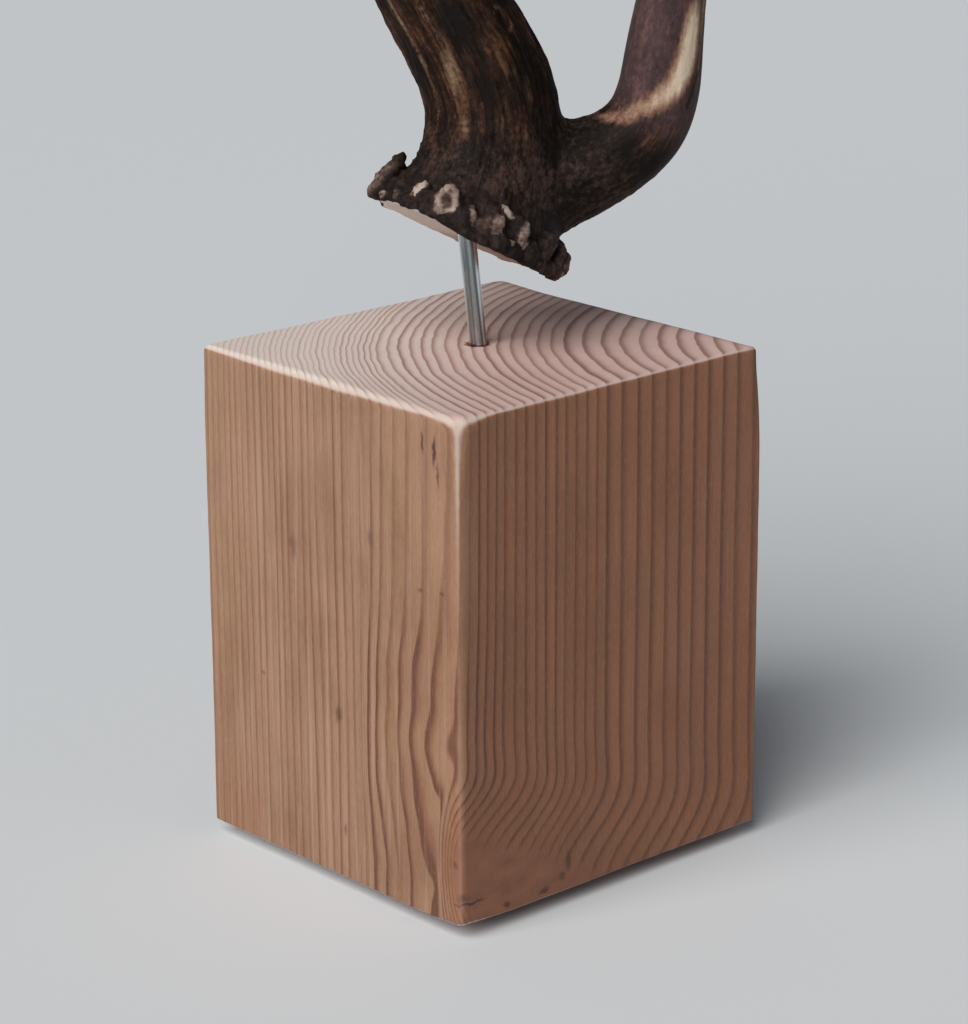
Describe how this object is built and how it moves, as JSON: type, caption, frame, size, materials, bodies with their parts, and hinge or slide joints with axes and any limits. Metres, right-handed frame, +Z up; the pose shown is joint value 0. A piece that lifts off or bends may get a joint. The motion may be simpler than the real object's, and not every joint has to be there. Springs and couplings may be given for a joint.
{
  "type": "deer antler on a wooden stand",
  "caption": "Shed red deer antler with a pearled burr, a brow tine, a trez tine and a forked top, held by a steel rod over an upright block of sanded softwood on an inset black pad.",
  "frame": {"origin": "middle of the base pad's underside", "axes": "+Z up; +X and +Y along the block's sides; the brow tine leans out between +X and -Y, and the beam sweeps back between -X and +Y"},
  "size_m": [0.1212, 0.1593, 0.7694],
  "materials": {
    "pad_rubber": "matte",
    "block_wood": "matte",
    "rod_steel": "gloss",
    "antler": "satin"
  },
  "bodies": {
    "root": {"base_pad": "pad_rubber", "wood_block": "block_wood", "steel_rod": "rod_steel", "antler_beam": "antler", "brow_tine": "antler", "trez_tine": "antler", "fork_tine": "antler"}
  },
  "joints": []
}
